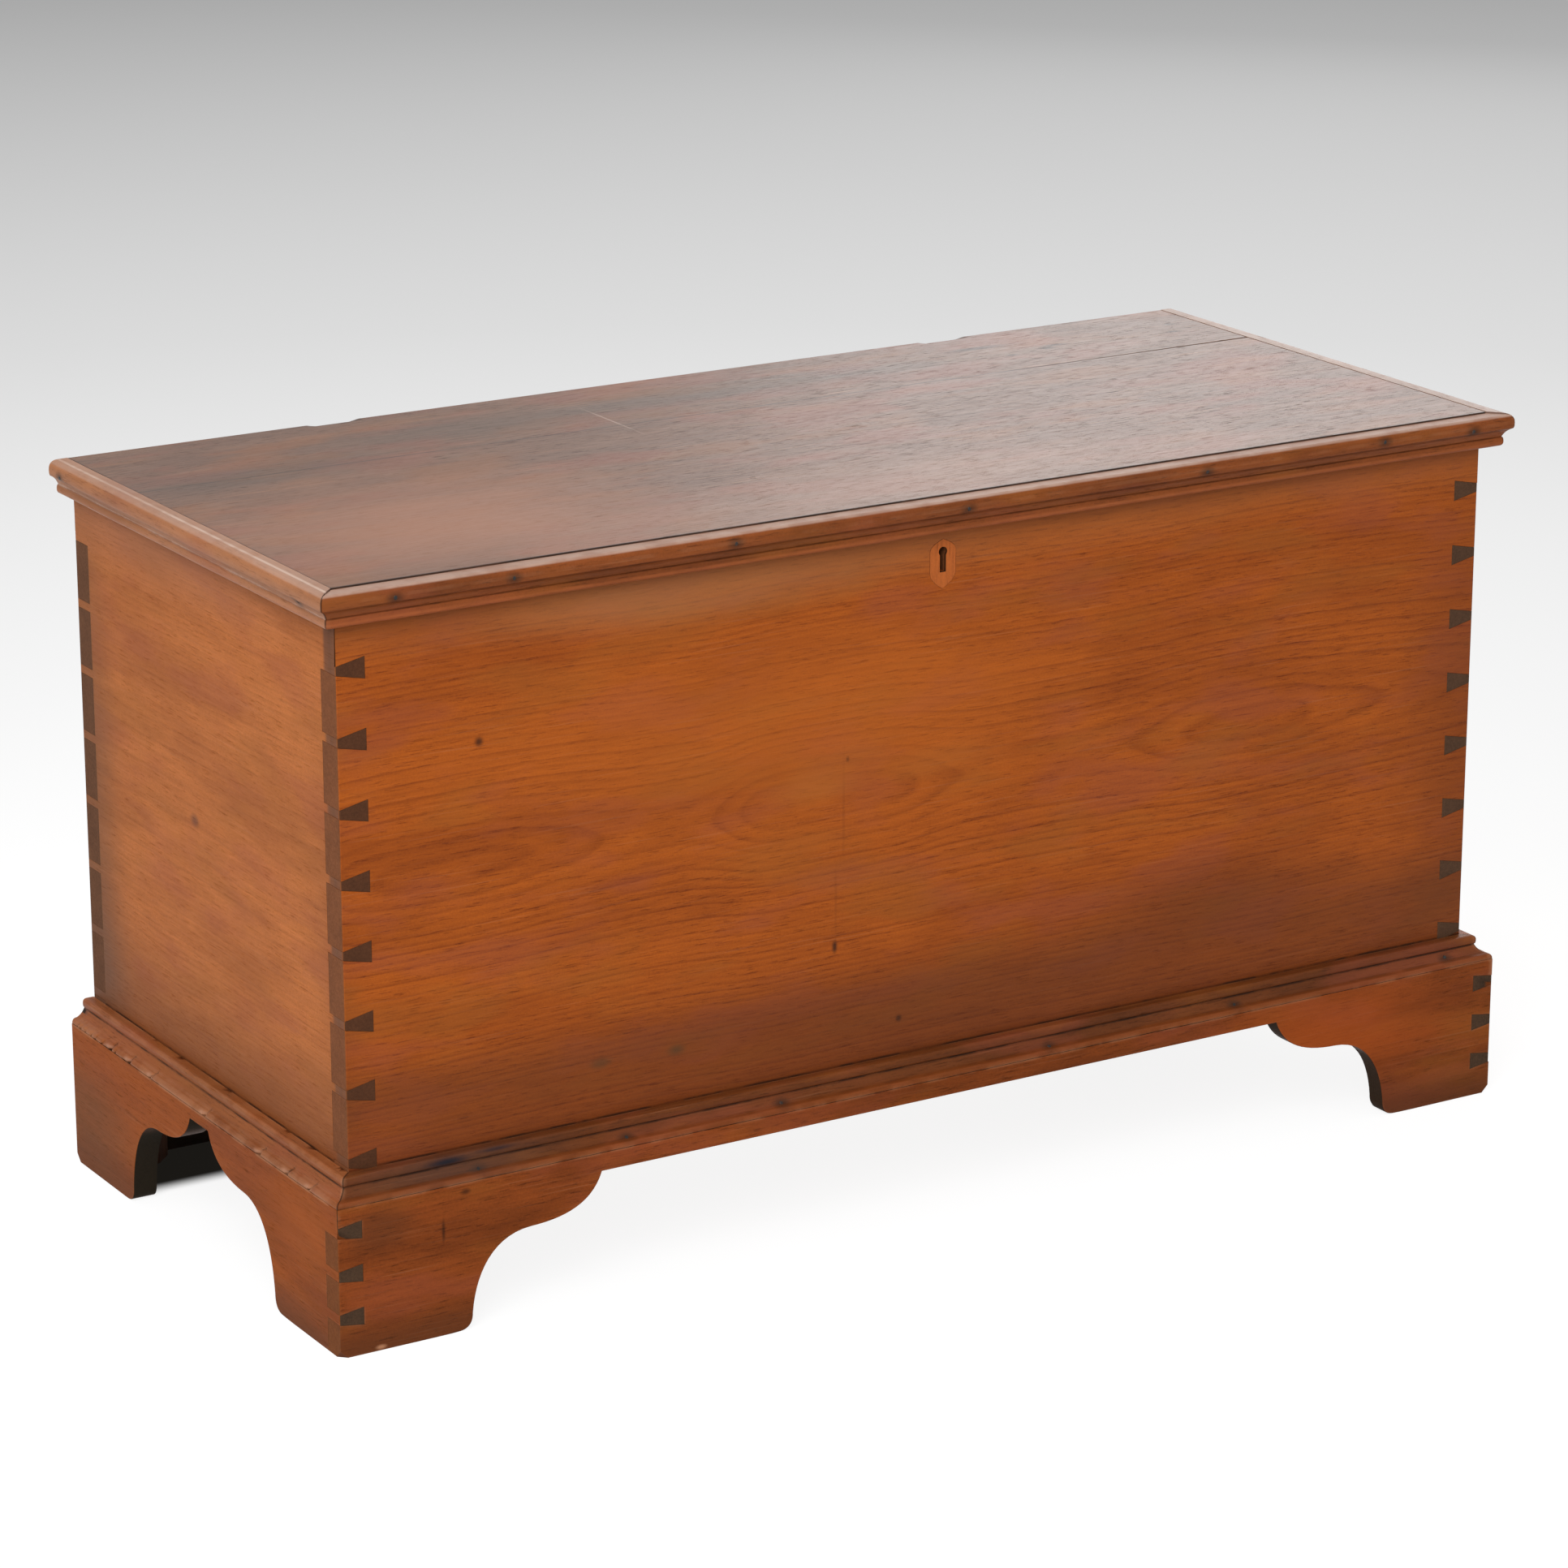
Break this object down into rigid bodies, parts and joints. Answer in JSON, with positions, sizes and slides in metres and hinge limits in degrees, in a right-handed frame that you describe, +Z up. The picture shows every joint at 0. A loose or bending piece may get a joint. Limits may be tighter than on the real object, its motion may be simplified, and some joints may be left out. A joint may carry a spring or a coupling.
{
  "type": "blanket chest",
  "caption": "Dovetailed wooden blanket chest with a moulded hinged lid, an inlaid keyhole escutcheon, a sliding lock bolt, a till and a scrolled bracket base.",
  "frame": {"origin": "on the floor, under the middle of the whole chest with its hinge barrels", "axes": "+X to the right along the front, +Y from the front towards the back, +Z up"},
  "size_m": [1.2396, 0.5508, 0.6728],
  "materials": {
    "front_wood": "old shellac over orange-brown softwood, satin, worn and marked",
    "back_wood": "dry unpolished board, browned with age",
    "end_wood": "old shellac over light orange board, satin",
    "lid_wood": "faded grey-brown top with a soft sheen, scratched",
    "moulding_wood": "applied moulding, orange-brown, rubbed pale on its edges",
    "base_wood": "darker red-brown bracket base, satin, chipped at the toes",
    "inner_wood": "bare secondary wood, dry and dusty",
    "inlay_wood": "inlaid slip of lighter wood, satin",
    "iron": "dark forged iron, dull, slightly rusted"
  },
  "bodies": {
    "case": {"front_board": "front_wood", "back_board": "back_wood", "left_end_board": "end_wood", "right_end_board": "end_wood", "bottom_front_board": "inner_wood", "bottom_back_board": "inner_wood", "till_side": "inner_wood", "till_bottom": "inner_wood", "escutcheon": "inlay_wood", "base_front": "base_wood", "base_left": "base_wood", "base_right": "base_wood", "base_moulding_front": "base_wood", "base_moulding_left": "base_wood", "base_moulding_right": "base_wood", "rear_foot_left": "inner_wood", "rear_foot_right": "inner_wood", "foot_block_front_left": "inner_wood", "foot_block_front_right": "inner_wood", "foot_block_rear_left": "inner_wood", "foot_block_rear_right": "inner_wood", "lock_plate": "iron", "lock_cap": "iron", "lock_screw_1": "iron", "lock_screw_2": "iron", "lock_screw_3": "iron", "lock_screw_4": "iron", "hinge_left_case_leaf": "iron", "hinge_left_pin": "iron", "hinge_left_case_screw_1": "iron", "hinge_left_case_screw_2": "iron", "hinge_left_case_screw_3": "iron", "hinge_right_case_leaf": "iron", "hinge_right_pin": "iron", "hinge_right_case_screw_1": "iron", "hinge_right_case_screw_2": "iron", "hinge_right_case_screw_3": "iron"},
    "lid": {"lid_front_board": "lid_wood", "lid_back_board": "lid_wood", "lid_moulding_front": "moulding_wood", "lid_moulding_left": "moulding_wood", "lid_moulding_right": "moulding_wood", "strike_plate": "iron", "strike_screw_1": "iron", "strike_screw_2": "iron", "hinge_left_lid_strap": "iron", "hinge_left_lid_screw_1": "iron", "hinge_left_lid_screw_2": "iron", "hinge_left_lid_screw_3": "iron", "hinge_right_lid_strap": "iron", "hinge_right_lid_screw_1": "iron", "hinge_right_lid_screw_2": "iron", "hinge_right_lid_screw_3": "iron"},
    "bolt": {"lock_bolt": "iron"}
  },
  "joints": [
    {"name": "lid_hinge", "type": "hinge", "parent": "case", "child": "lid", "pos_m": [0, 0.2709, 0.6513], "axis": [-1, 0, 0], "range_deg": [0, 100]},
    {"name": "bolt_slide", "type": "slide", "parent": "case", "child": "bolt", "axis": [1, 0, 0], "range_m": [0, 0.009]}
  ]
}
